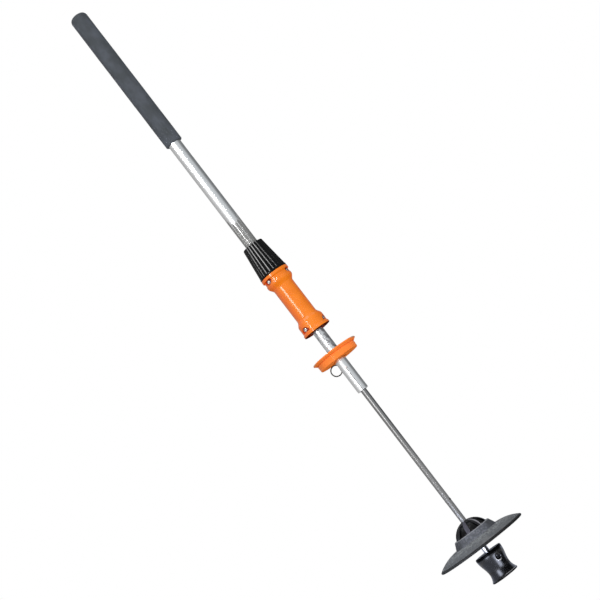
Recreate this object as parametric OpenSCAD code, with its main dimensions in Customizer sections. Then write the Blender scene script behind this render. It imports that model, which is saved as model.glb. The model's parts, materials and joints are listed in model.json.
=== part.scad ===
// Two-handed telescopic staff with a clamped handle, a sliding stop flange,
// an exchangeable rod on a release pin, and a rubber ground shield above a waisted tip.
// The staff stands along +Z with the middle of the tip's end face at the origin.

/* [Tip] */
// Length of the tip knob
tip_len = 45.5; // [40:0.5:60]
// Radius of the tip's two ends
tip_end_r = 23.3; // [20:0.1:26]
// Radius of the tip's waist
tip_waist_r = 18.9; // [16:0.1:19.5]
// Height of the waist above the end face
tip_waist_h = 15.5; // [12:0.5:18]
// Height of the set-screw hole above the end face
tip_hole_h = 30.5; // [28:0.5:34]
// Radius of the set-screw hole
tip_hole_r = 4.25; // [3:0.05:4.5]
// Direction of the set-screw hole round the staff
tip_hole_az = 295; // [0:1:359]

/* [Rod] */
// Radius of the exchangeable rod
rod_r = 5; // [4:0.5:6]
// Rod in the open between the shield and the lower tube
rod_show = 254; // [200:0.5:320]
// Height of the stop pin above the shield's crown
rod_stop_h = 39; // [25:0.5:60]
// Direction of the stop pin round the staff
rod_stop_az = 318; // [0:1:359]

/* [Shield] */
// Clear height between the tip and the shield's rim
shield_gap = 14.5; // [12:0.5:30]
// Radius where the skirt's bowed face meets its rim
skirt_r = 76.1; // [65:0.1:85]
// Thickness of the rubber skirt
skirt_wall = 3.5; // [2.5:0.1:4]
// Height of the skirt from its rim to the collar
skirt_rise = 13.5; // [11:0.5:14]
// Height of the rubber collar
collar_h = 12; // [9.5:0.5:15]
// Radius of the collar's foot
collar_foot_r = 37.8; // [35:0.1:40]
// Radius of the collar's top edge
collar_top_r = 32.2; // [31:0.1:34]
// Radius of the cage dome at its foot
dome_foot_r = 28.2; // [26:0.1:29]
// Height of the cage dome over the collar
dome_h = 19; // [18:0.5:24]
// Number of sunk panels round the cage dome
panel_n = 8; // [6:1:8]

/* [Lower tube] */
// Outer radius of the lower tube
low_tube_r = 9.5; // [8.5:0.5:9.5]
// Wall of both tubes
tube_wall = 1.5; // [1:0.1:2]
// Lower tube in the open below the stop flange
tail_len = 61; // [60.5:0.5:80]
// Width of the slit from the tube's end up to the release pin
slit_w = 0.8; // [0.6:0.1:2]

/* [Stop flange] */
// Height of the stop flange
flange_h = 15.5; // [13:0.5:16]
// Radius of the flange's lip
flange_lip_r = 40.5; // [38:0.5:42]
// Radius of the drum just under the lip
flange_neck_r = 35.4; // [34:0.1:36]
// Radius of the drum at its foot
flange_foot_r = 35; // [32:0.1:36]
// Free travel between the flange and the hub
flange_gap = 42; // [30:0.5:60]
// Number of stiffening ribs inside the drum
flange_rib_n = 8; // [6:1:12]

/* [Release pin] */
// Radius of the pin
pin_r = 2; // [2:0.1:3]
// Height of the pin above the end of the lower tube
pin_h = 43; // [40:0.5:44]
// Radius of the pull ring at the middle of its wire
ring_r = 8.9; // [8.5:0.1:9]
// Thickness of the ring's wire
wire_d = 2; // [1.5:0.1:2]
// Height of the ring's middle above the pin
ring_rise = 7.6; // [7:0.1:7.6]
// Ring's middle to the side of the pin
ring_side = 15.3; // [14.5:0.1:15.5]

/* [Hub] */
// Length of the hub
hub_len = 114; // [114:0.5:130]
// Radius of the hub's upper edge
hub_top_r = 24.7; // [23:0.1:25]
// Radius of the groove under the upper edge
hub_neck_r = 22.3; // [21.8:0.1:23]
// Radius of the upper shoulder
hub_up_r = 23.2; // [22:0.1:24]
// Radius of the hub's waist
hub_waist_r = 17.8; // [17.2:0.1:19]
// Radius of the lower shoulder
hub_low_r = 22.5; // [21.8:0.1:23]
// Radius of the hub's lower edge
hub_foot_r = 23.9; // [23:0.1:25]
// Length of the upper shoulder
hub_up_len = 15; // [14.5:0.5:20]
// Length of the lower shoulder
hub_low_len = 18; // [17.5:0.5:20]
// Length of the blend between a shoulder and the waist
hub_blend = 11; // [7:0.5:12]
// Screws round each end of the hub
screw_n = 3; // [3:1:4]
// Direction of the first screw round the staff
screw_az = 225; // [0:1:359]
// Screws from the upper edge of the hub
screw_up = 8.5; // [8:0.5:10]
// Screws from the lower edge of the hub
screw_low = 10; // [10:0.5:12.5]

/* [Lock nut] */
// Height of the lock nut
nut_h = 57; // [54:0.5:60]
// Radius of the nut's foot
nut_foot_r = 24.5; // [23:0.1:26]
// Radius of the nut's top
nut_top_r = 18; // [16.5:0.1:18.5]
// Number of ribs round the nut
rib_n = 18; // [16:1:20]

/* [Handle] */
// Outer radius of the handle tube
tube_r = 11; // [11:0.5:11.5]
// Handle tube in the open between the nut and the grip
tube_show = 210; // [150:1:260]
// Length of the foam grip
grip_len = 269; // [200:1:300]
// Outer radius of the foam grip
grip_r = 15; // [14:0.5:17]

/* [Hidden] */
$fn = 72;
// Gap of a seated piece, of a running fit and of faces that only pass each other
seat_gap = 0.02;
run_gap = 0.05;
free_gap = 0.3;
// Heights of the joints between the pieces, from the tip upwards
rim_z = tip_len + shield_gap;
skirt_z = rim_z + skirt_rise;
collar_z = skirt_z + collar_h;
dome_z = collar_z + dome_h;
tube_end_z = dome_z + rod_show;
pin_z = tube_end_z + pin_h;
flange_z = tube_end_z + tail_len;
flange_top_z = flange_z + flange_h;
hub_z = flange_top_z + flange_gap;
hub_top_z = hub_z + hub_len;
nut_top_z = hub_top_z + nut_h;
grip_z = nut_top_z + tube_show;
top_z = grip_z + grip_len;
// Rod: its foot in the tip, its head above the release pin
rod_foot_z = 14;
rod_head_z = pin_z + 34;
stop_z = dome_z + rod_stop_h;
stop_r = 1.5;
stop_proud = 0.8;
// Shield: ball of the dome, wall of the cage, sleeve round the rod and the flange in the collar
dome_ball_r = (dome_h * dome_h + dome_foot_r * dome_foot_r) / (2 * dome_h);
cage_wall = 3.4;
sleeve_r = 8.4;
cage_flange_r = 30.1;
cage_flange_z = skirt_z + 1.8;
cage_flange_h = 3;
grommet_r = 7;
grommet_h = 7;
grommet_z = collar_z + 2;
// Lower tube: its seat in the hub, the snap ring under the flange
socket_h = 35;
socket_z = hub_z + 1.5;
low_tube_top_z = socket_z + socket_h - 4;
clip_z = flange_z + 2.6;
clip_h = 1.2;
clip_depth = 0.6;
flange_hub_z = clip_z + clip_h + run_gap;
flange_hub_r = 16;
flange_recess_r = 12.6;
flange_wall = 2.6;
lip_h = 4.8;
lip_tip_h = 2.6;
// Hub: one bore right through, which the socket and the spigot close
hub_bore_r = 14.9;
pocket_r = 9;
pocket_drop = 4.6;
pocket_flat = 3.8;
pocket_floor_r = 19.2;
screw_r = 2;
screw_head_r = 3.5;
screw_head_h = 2.4;
screw_point_r = tube_r + 1.1;
// Clamp: spigot thread, collet cones and the handle's stop bush
spigot_foot_z = hub_top_z - 14;
thread_r = 16.8;
thread_h = 26;
seat_z = hub_top_z + 13;
seat_top_z = hub_top_z + thread_h;
seat_r = 12.3;
seat_top_r = 15;
collet_band_h = 5;
collet_top_z = seat_top_z + 15;
collet_top_r = 12.4;
foot_bush_h = 12;
foot_z = spigot_foot_z - 1 - foot_bush_h;
foot_pin_r = 1.5;
// Handle: foam closes over the tube's plugged end
foam_end = 8;
tube_top_z = top_z - foam_end;
plug_h = 16;

// Points on an arc from angle a0 to a1
function arc(centre, r, a0, a1, n = 8) =
    [for (i = [0:n]) centre + r * [cos(a0 + (a1 - a0) * i / n), sin(a0 + (a1 - a0) * i / n)]];

// Points of a half-wave blend between two radii, rising from z0 to z1
function blend(r0, r1, z0, z1, n = 10) =
    [for (i = [0:n]) [r0 + (r1 - r0) * (1 - cos(180 * i / n)) / 2, z0 + (z1 - z0) * i / n]];

// Radius of an arc that passes through its own crown and a point (rise, run) away from it
function crown_r(rise, run) = (rise * rise + run * run) / (2 * rise);

// Solid of revolution about the staff's axis
module turned(profile) {
    rotate_extrude() polygon(profile);
}

// Plain tube between two heights
module pipe(r_out, r_in, z0, z1) {
    turned([[r_in, z0], [r_out, z0], [r_out, z1], [r_in, z1]]);
}

// Copies of the children spaced evenly round the staff
module around(n, first = 0) {
    for (i = [0:n - 1]) rotate(first + i * 360 / n) children();
}

// Puts a piece that is drawn along +Z onto the direction az at height z, r0 out from the axis
module radial(az, z, r0 = 0) {
    rotate(az) translate([r0, 0, z]) rotate([0, 90, 0]) children();
}

// Waisted knob: a hollow arc below the waist, a long blend above it and a blind bore for the rod
module tip_knob() {
    edge = 1.8;
    low_r = crown_r(tip_end_r - tip_waist_r, tip_waist_h - edge);
    low_a = asin((tip_waist_h - edge) / low_r);
    shoulder_z = tip_len - 4;
    hole_turn = 180 * (tip_hole_h - tip_waist_h) / (shoulder_z - tip_waist_h);
    hole_face_r = tip_waist_r + (tip_end_r - tip_waist_r) * (1 - cos(hole_turn)) / 2;
    sink_depth = 1.5;
    color([0.05, 0.05, 0.06]) difference() {
        turned(concat(
            [[0, 0]],
            arc([tip_end_r - edge, edge], edge, -90, 0),
            arc([tip_waist_r + low_r, tip_waist_h], low_r, 180 + low_a, 180, 14),
            blend(tip_waist_r, tip_end_r, tip_waist_h, shoulder_z, 20),
            arc([tip_end_r - edge, tip_len - edge], edge, 0, 90),
            [[rod_r + seat_gap, tip_len], [rod_r + seat_gap, rod_foot_z], [0, rod_foot_z]]
        ));
        radial(tip_hole_az, tip_hole_h, rod_r - 1) cylinder(r = tip_hole_r, h = tip_end_r);
        radial(tip_hole_az, tip_hole_h, hole_face_r - sink_depth)
            cylinder(r1 = tip_hole_r, r2 = tip_hole_r + 2 * sink_depth, h = 2 * sink_depth);
    }
}

// Grub screw that bears on the rod through the knob's side
module tip_set_screw() {
    screw_len = 8;
    key_r = 2.3;
    key_depth = 4;
    color([0.25, 0.25, 0.27]) radial(tip_hole_az, tip_hole_h, rod_r + run_gap) difference() {
        cylinder(r = tip_hole_r - seat_gap, h = screw_len);
        translate([0, 0, screw_len - key_depth]) cylinder(r = key_r, h = key_depth + 1, $fn = 6);
    }
}

// Steel rod with the cross holes of the release pin and the stop pin
module tool_rod() {
    chamfer = 1;
    color([0.5, 0.5, 0.5]) difference() {
        turned([
            [0, rod_foot_z + seat_gap], [rod_r, rod_foot_z + seat_gap], [rod_r, rod_head_z - chamfer],
            [rod_r - chamfer, rod_head_z], [0, rod_head_z]
        ]);
        radial(90, pin_z, -2 * rod_r) cylinder(r = pin_r + run_gap, h = 4 * rod_r);
        radial(rod_stop_az, stop_z, -2 * rod_r) cylinder(r = stop_r, h = 4 * rod_r);
    }
}

// Spring pin that keeps the shield from riding further up the rod
module rod_stop_pin() {
    color([0.2, 0.2, 0.2]) radial(rod_stop_az, stop_z, -rod_r - stop_proud)
        cylinder(r = stop_r - seat_gap, h = 2 * (rod_r + stop_proud));
}

// Bowed rubber skirt with its tapered collar, which snaps over the flange of the cage
module shield_skirt() {
    run = skirt_r - collar_foot_r;
    bow_r = crown_r(skirt_rise - skirt_wall / 2, run);
    bow_a = acos(run / bow_r);
    centre = [collar_foot_r, skirt_z - bow_r];
    mouth_r = cage_flange_r - 3;
    groove_r = cage_flange_r + seat_gap;
    groove_top = cage_flange_z + cage_flange_h + seat_gap;
    root_a = 90 + asin((collar_foot_r - mouth_r) / (bow_r - skirt_wall));
    edge = 0.8;
    color([0.42, 0.43, 0.44]) turned(concat(
        arc(centre, bow_r - skirt_wall, root_a, bow_a, 16),
        arc(centre + (bow_r - skirt_wall / 2) * [cos(bow_a), sin(bow_a)], skirt_wall / 2, bow_a - 180, bow_a, 10),
        arc(centre, bow_r, bow_a, 90, 16),
        arc([collar_top_r - edge, collar_z - edge], edge, 20, 90, 4),
        [
            [dome_foot_r + seat_gap, collar_z], [dome_foot_r + seat_gap, groove_top],
            [groove_r, groove_top], [groove_r, cage_flange_z - seat_gap], [mouth_r, cage_flange_z - seat_gap]
        ]
    ));
}

// Moulded cage: dome with sunk panels between its ribs, snap flange, and the sleeve that runs on the rod
module shield_cage() {
    ball = [0, dome_z - dome_ball_r];
    inner_r = dome_ball_r - cage_wall;
    foot_a = asin((collar_z - ball.y) / dome_ball_r);
    foot_in_a = asin((collar_z - ball.y) / inner_r);
    bore_r = rod_r + run_gap;
    crown_a = acos(bore_r / dome_ball_r);
    crown_in_a = acos(sleeve_r / inner_r);
    ring_in_r = inner_r * cos(foot_in_a);
    panel_foot = collar_z + 0.8;
    panel_top = dome_z - 4;
    panel_w = 16;
    panel_tip_w = 6.5;
    panel_az = 13;
    panel_depth = 2;
    color([0.05, 0.05, 0.06]) difference() {
        turned(concat(
            [
                [bore_r, cage_flange_z], [sleeve_r, cage_flange_z]
            ],
            arc(ball, inner_r, crown_in_a, foot_in_a, 10),
            [
                [ring_in_r, cage_flange_z], [cage_flange_r, cage_flange_z],
                [cage_flange_r, cage_flange_z + cage_flange_h], [dome_foot_r, cage_flange_z + cage_flange_h]
            ],
            arc(ball, dome_ball_r, foot_a, crown_a, 16)
        ));
        difference() {
            around(panel_n, panel_az) translate([sleeve_r + 1.5, 0, 0]) rotate([90, 0, 90])
                linear_extrude(dome_foot_r) polygon([
                    [-panel_w / 2, panel_foot], [panel_w / 2, panel_foot],
                    [panel_tip_w / 2, panel_top], [-panel_tip_w / 2, panel_top]
                ]);
            translate([0, 0, ball.y]) sphere(r = dome_ball_r - panel_depth);
        }
        pipe(grommet_r + seat_gap, bore_r - 1, grommet_z - seat_gap, grommet_z + grommet_h + seat_gap);
    }
}

// Rubber ring that grips the rod and keeps the shield where it is pushed
module shield_grommet() {
    color([0.1, 0.1, 0.1]) pipe(grommet_r, rod_r + run_gap, grommet_z, grommet_z + grommet_h);
}

// Plastic bushes that centre the rod in the lower tube
module rod_bush(z0, len) {
    color([0.15, 0.15, 0.16])
        pipe(low_tube_r - tube_wall - seat_gap, rod_r + seat_gap, z0, z0 + len);
}

module rod_bush_lower() {
    recess = 0.6;
    bush_len = 24;
    rod_bush(tube_end_z + recess, bush_len);
}

module rod_bush_upper() {
    bush_len = 16;
    head_show = 4;
    rod_bush(rod_head_z - head_show - bush_len, bush_len);
}

// Aluminium tube with the pin's cross hole, the slit below it and the groove of the snap ring
module lower_tube() {
    inner_r = low_tube_r - tube_wall;
    chamfer = 0.4;
    color([0.8, 0.81, 0.82]) difference() {
        turned([
            [inner_r, tube_end_z], [low_tube_r - chamfer, tube_end_z], [low_tube_r, tube_end_z + chamfer],
            [low_tube_r, low_tube_top_z], [inner_r, low_tube_top_z]
        ]);
        radial(90, pin_z, -2 * low_tube_r) cylinder(r = pin_r + run_gap, h = 4 * low_tube_r);
        translate([-slit_w / 2, -2 * low_tube_r, tube_end_z - 1]) cube([slit_w, 2 * low_tube_r, pin_h + 1]);
        pipe(low_tube_r + 1, low_tube_r - clip_depth, clip_z, clip_z + clip_h);
    }
}

// Faces of the pin's collar, and the plane of the ring behind it
collar_y = low_tube_r + free_gap;
tab_y = collar_y + 2;
eye_y = tab_y + 3.4;
// The pin's flat tab leans towards the ring's middle, and the ring's wire runs through an eye in it
tab_lean = atan2(ring_rise, -ring_side);
eye_out = norm([ring_side, ring_rise]) - ring_r;

// Release pin: round nose, collar against the tube and a flat tab with the ring's eye
module release_pin() {
    nose = 1.2;
    collar_r = 4;
    tab_r = 2.8;
    tab_h = 2.4;
    eye_r = 1.5;
    nose_y = -low_tube_r - nose;
    color([0.6, 0.6, 0.6]) translate([0, 0, pin_z]) difference() {
        union() {
            rotate([90, 0, 0]) rotate_extrude() polygon(concat(
                [[0, -tab_y], [collar_r, -tab_y], [collar_r, -collar_y], [pin_r, -collar_y]],
                arc([pin_r - nose, -nose_y - nose], nose, 0, 90, 6),
                [[0, -nose_y]]
            ));
            rotate([0, -tab_lean, 0]) {
                translate([-tab_r, tab_y - 0.6, -tab_h / 2]) cube([eye_out + tab_r, eye_y + tab_r - tab_y + 0.6, tab_h]);
                translate([eye_out, eye_y, -tab_h / 2]) cylinder(r = tab_r, h = tab_h);
            }
        }
        rotate([0, -tab_lean, 0]) translate([eye_out, eye_y, -tab_h]) cylinder(r = eye_r, h = 2 * tab_h);
    }
}

// Round wire ring through the eye of the pin
module pull_ring() {
    color([0.3, 0.3, 0.28]) translate([-ring_side, eye_y, pin_z + ring_rise]) rotate([90, 0, 0])
        rotate_extrude() translate([ring_r, 0]) circle(d = wire_d, $fn = 24);
}

// Cup-shaped flange that slides on the lower tube, open above, with a recess round the snap ring below
module stop_flange() {
    floor_h = 3;
    inner_foot_r = flange_foot_r - flange_wall;
    inner_neck_r = flange_neck_r - flange_wall;
    floor_z = flange_z + floor_h;
    bore_r = low_tube_r + run_gap;
    rib_t = 2;
    rib_h = 6;
    rib_root = 0.5;
    edge = 0.8;
    lip_edge = lip_tip_h / 2;
    groove_r = flange_neck_r - 1;
    groove_h = 1.2;
    color([0.96, 0.45, 0.1]) union() {
        turned(concat(
            [[bore_r, flange_hub_z], [flange_recess_r, flange_hub_z], [flange_recess_r, flange_z]],
            arc([flange_foot_r - edge, flange_z + edge], edge, -90, 0, 4),
            [
                [flange_neck_r, flange_top_z - lip_h - groove_h], [groove_r, flange_top_z - lip_h - groove_h],
                [groove_r, flange_top_z - lip_h], [flange_neck_r + 1, flange_top_z - lip_h]
            ],
            arc([flange_lip_r - lip_edge, flange_top_z - lip_edge], lip_edge, -90, 90, 8),
            [
                [inner_neck_r, flange_top_z], [inner_foot_r, floor_z], [flange_hub_r, floor_z],
                [flange_hub_r, flange_top_z], [bore_r, flange_top_z]
            ]
        ));
        around(flange_rib_n) translate([flange_hub_r - rib_root, -rib_t / 2, floor_z - rib_root])
            cube([inner_foot_r - flange_hub_r + 2 * rib_root, rib_t, rib_h + rib_root]);
    }
}

// Open snap ring in the tube's groove, which the flange rests on
module flange_snap_ring() {
    ring_out_r = 11.2;
    mouth = 50;
    gap_dir = 180;
    color([0.3, 0.3, 0.3]) difference() {
        pipe(ring_out_r, low_tube_r - clip_depth + seat_gap, clip_z + seat_gap, clip_z + clip_h - seat_gap);
        rotate(gap_dir) translate([0, 0, clip_z - 1]) linear_extrude(clip_h + 2) polygon([
            [0, 0], 2 * ring_out_r * [cos(mouth / 2), -sin(mouth / 2)],
            2 * ring_out_r * [cos(mouth / 2), sin(mouth / 2)]
        ]);
    }
}

// Arched pocket with its clearance hole, flat on the side that faces the hub's edge
module screw_pocket(az, z, to_edge) {
    radial(az, z, pocket_floor_r) intersection() {
        translate([-to_edge * pocket_drop, 0, 0]) cylinder(r = pocket_r, h = hub_top_r);
        translate([to_edge > 0 ? -pocket_flat : -pocket_r, -pocket_r, 0])
            cube([pocket_r + pocket_flat, 2 * pocket_r, hub_top_r]);
    }
    radial(az, z, hub_bore_r - 2) cylinder(r = screw_r + run_gap, h = hub_top_r);
}

// Moulded hub: two rimmed shoulders blended into a straight waist
module hub_body() {
    edge = 0.9;
    low_end_z = hub_z + hub_low_len;
    up_start_z = hub_top_z - hub_up_len;
    rim_h = 4.5;
    step_h = 2.5;
    color([0.96, 0.45, 0.1]) difference() {
        turned(concat(
            [[hub_bore_r, hub_z]],
            arc([hub_foot_r - edge, hub_z + edge], edge, -90, 0, 5),
            blend(hub_foot_r, hub_low_r, hub_z + rim_h - 1, hub_z + rim_h + 1, 6),
            blend(hub_low_r, hub_waist_r, low_end_z, low_end_z + hub_blend, 16),
            blend(hub_waist_r, hub_up_r, up_start_z - hub_blend, up_start_z, 16),
            blend(hub_up_r, hub_neck_r, up_start_z + 1.5, up_start_z + 1.5 + step_h, 6),
            blend(hub_neck_r, hub_top_r, hub_top_z - rim_h - step_h, hub_top_z - rim_h, 6),
            arc([hub_top_r - edge, hub_top_z - edge], edge, 0, 90, 5),
            [[hub_bore_r, hub_top_z]]
        ));
        for (i = [0:screw_n - 1]) {
            screw_pocket(screw_az + i * 360 / screw_n, hub_z + screw_low, -1);
            screw_pocket(screw_az + i * 360 / screw_n, hub_top_z - screw_up, 1);
        }
    }
}

// Bush that holds the lower tube in the foot of the hub
module tube_socket() {
    step_r = low_tube_r - tube_wall;
    color([0.15, 0.15, 0.16]) difference() {
        turned([
            [low_tube_r + seat_gap, socket_z], [hub_bore_r - seat_gap, socket_z],
            [hub_bore_r - seat_gap, socket_z + socket_h], [step_r, socket_z + socket_h],
            [step_r, low_tube_top_z + seat_gap], [low_tube_r + seat_gap, low_tube_top_z + seat_gap]
        ]);
        around(screw_n, screw_az) radial(0, hub_z + screw_low, low_tube_r - 1)
            cylinder(r = screw_r + seat_gap, h = hub_bore_r);
    }
}

// Pan-head screw with a hexagon socket, drawn with its point at r0
module hub_screw(z, r0) {
    key_r = 1.7;
    key_depth = 1.6;
    edge = 1;
    head_out = pocket_floor_r + run_gap + screw_head_h;
    radial(0, z, r0) difference() {
        rotate_extrude() polygon(concat(
            [[0, 0], [screw_r, 0], [screw_r, pocket_floor_r + run_gap - r0]],
            [[screw_head_r, pocket_floor_r + run_gap - r0]],
            arc([screw_head_r - edge, head_out - r0 - edge], edge, 0, 90, 5),
            [[0, head_out - r0]]
        ));
        translate([0, 0, head_out - r0 - key_depth]) cylinder(r = key_r, h = key_depth + 1, $fn = 6);
    }
}

module hub_lower_screws() {
    color([0.75, 0.74, 0.73]) around(screw_n, screw_az) hub_screw(hub_z + screw_low, low_tube_r + run_gap);
}

module hub_upper_screws() {
    color([0.75, 0.74, 0.73]) around(screw_n, screw_az)
        hub_screw(hub_top_z - screw_up, screw_point_r);
}

// Spigot screwed into the head of the hub: guide bore, threaded neck and the collet's cone
module threaded_spigot() {
    bore_r = tube_r + run_gap;
    color([0.12, 0.12, 0.13]) difference() {
        turned([
            [bore_r, spigot_foot_z], [hub_bore_r - seat_gap, spigot_foot_z],
            [hub_bore_r - seat_gap, hub_top_z + seat_gap], [thread_r, hub_top_z + seat_gap],
            [thread_r, seat_top_z], [seat_top_r, seat_top_z], [seat_r, seat_z], [bore_r, seat_z]
        ]);
        around(screw_n, screw_az) radial(0, hub_top_z - screw_up, screw_point_r - run_gap)
            cylinder(r = screw_r + seat_gap, h = hub_bore_r);
    }
}

// Split collet between two cones, which the nut squeezes onto the handle tube
module collet() {
    slot_w = 1.6;
    slot_n = 6;
    bridge = 2.5;
    color([0.85, 0.85, 0.82]) difference() {
        turned([
            [tube_r + run_gap, seat_z + seat_gap], [seat_r - run_gap, seat_z + seat_gap],
            [seat_top_r - run_gap, seat_top_z], [seat_top_r - run_gap, seat_top_z + collet_band_h],
            [collet_top_r, collet_top_z], [tube_r + run_gap, collet_top_z]
        ]);
        around(slot_n) translate([tube_r - 1, -slot_w / 2, seat_z + bridge])
            cube([seat_top_r, slot_w, collet_top_z - seat_z]);
    }
}

// Ribbed cone nut: threaded skirt below, inner cone above the collet
module lock_nut() {
    foot_z = hub_top_z + 0.5;
    band_h = 2.5;
    edge = 1;
    cone_r = seat_top_r + 0.6;
    hole_r = tube_r + 0.5;
    cone_z = seat_top_z + collet_band_h + 0.6;
    hole_z = collet_top_z + 2;
    lean = atan((nut_foot_r - nut_top_r) / nut_h);
    rib_r = 4.2;
    rib_sink = 0.25;
    rib_az = 265;
    core_sink = 3;
    core_z = foot_z + band_h + 1;
    color([0.05, 0.05, 0.06]) difference() {
        intersection() {
            union() {
                turned(concat(
                    [[0, foot_z]],
                    arc([nut_foot_r - edge, foot_z + edge], edge, -90, 0, 4),
                    [[nut_foot_r, foot_z + band_h], [nut_foot_r - core_sink, core_z]],
                    [[nut_top_r - core_sink, nut_top_z], [0, nut_top_z]]
                ));
                around(rib_n, rib_az) translate([nut_foot_r - rib_sink - rib_r / cos(lean), 0, foot_z + 1])
                    rotate([0, -lean, 0]) cylinder(r = rib_r, h = nut_h + 5);
            }
            turned(concat(
                [[0, foot_z - 1], [nut_foot_r + 1, foot_z - 1], [nut_foot_r + 1, foot_z + band_h]],
                arc([nut_top_r - edge, nut_top_z - edge], edge, 0, 90, 5),
                [[0, nut_top_z]]
            ));
        }
        turned([
            [0, foot_z - 1], [thread_r + free_gap, foot_z - 1], [thread_r + free_gap, seat_top_z + 0.6],
            [cone_r, seat_top_z + 0.6], [cone_r, cone_z], [collet_top_r + 0.6, hole_z - 1.6],
            [hole_r, hole_z], [hole_r, nut_top_z + 1], [0, nut_top_z + 1]
        ]);
    }
}

// Polished aluminium tube that carries the grip and slides in the clamp
module handle_tube() {
    color([0.82, 0.83, 0.84]) difference() {
        pipe(tube_r, tube_r - tube_wall, foot_z, tube_top_z);
        radial(0, foot_z + foot_bush_h / 2, -2 * tube_r) cylinder(r = foot_pin_r, h = 4 * tube_r);
    }
}

// Bush on the tube's foot, which keeps the tube from leaving the clamp
module handle_stop_bush() {
    color([0.85, 0.85, 0.82]) difference() {
        pipe(hub_bore_r - free_gap, tube_r + seat_gap, foot_z, foot_z + foot_bush_h);
        radial(0, foot_z + foot_bush_h / 2, -2 * tube_r) cylinder(r = foot_pin_r, h = 4 * tube_r);
    }
}

// Spring pin through the bush and the tube
module stop_bush_pin() {
    color([0.3, 0.3, 0.3]) radial(0, foot_z + foot_bush_h / 2, -hub_bore_r + 1)
        cylinder(r = foot_pin_r - seat_gap, h = 2 * (hub_bore_r - 1));
}

// Plug that closes the tube under the foam
module tube_end_plug() {
    inner_r = tube_r - tube_wall - seat_gap;
    core_r = inner_r - 2;
    floor_h = 3;
    color([0.15, 0.15, 0.16]) turned([
        [core_r, tube_top_z - plug_h], [inner_r, tube_top_z - plug_h], [inner_r, tube_top_z],
        [0, tube_top_z], [0, tube_top_z - floor_h], [core_r, tube_top_z - floor_h]
    ]);
}

// Foam sleeve with a closed, rounded end
module foam_grip() {
    foot_edge = 1.5;
    end_edge = 8;
    color([0.22, 0.23, 0.24]) turned(concat(
        [[tube_r + seat_gap, grip_z]],
        arc([grip_r - foot_edge, grip_z + foot_edge], foot_edge, -90, 0, 5),
        arc([grip_r - end_edge, top_z - end_edge], end_edge, 0, 90, 10),
        [[0, top_z], [0, tube_top_z + seat_gap], [tube_r + seat_gap, tube_top_z + seat_gap]]
    ));
}

tip_knob();
tip_set_screw();
tool_rod();
rod_stop_pin();
shield_skirt();
shield_cage();
shield_grommet();
rod_bush_lower();
rod_bush_upper();
lower_tube();
release_pin();
pull_ring();
stop_flange();
flange_snap_ring();
hub_body();
tube_socket();
hub_lower_screws();
hub_upper_screws();
threaded_spigot();
collet();
lock_nut();
handle_tube();
handle_stop_bush();
stop_bush_pin();
tube_end_plug();
foam_grip();
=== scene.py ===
"""Looks of a two-handed telescopic probe staff, dressed piece by piece from its rod up to its grip."""

import json
import math

import bpy
import numpy as np
from mathutils import Matrix, Vector


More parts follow.
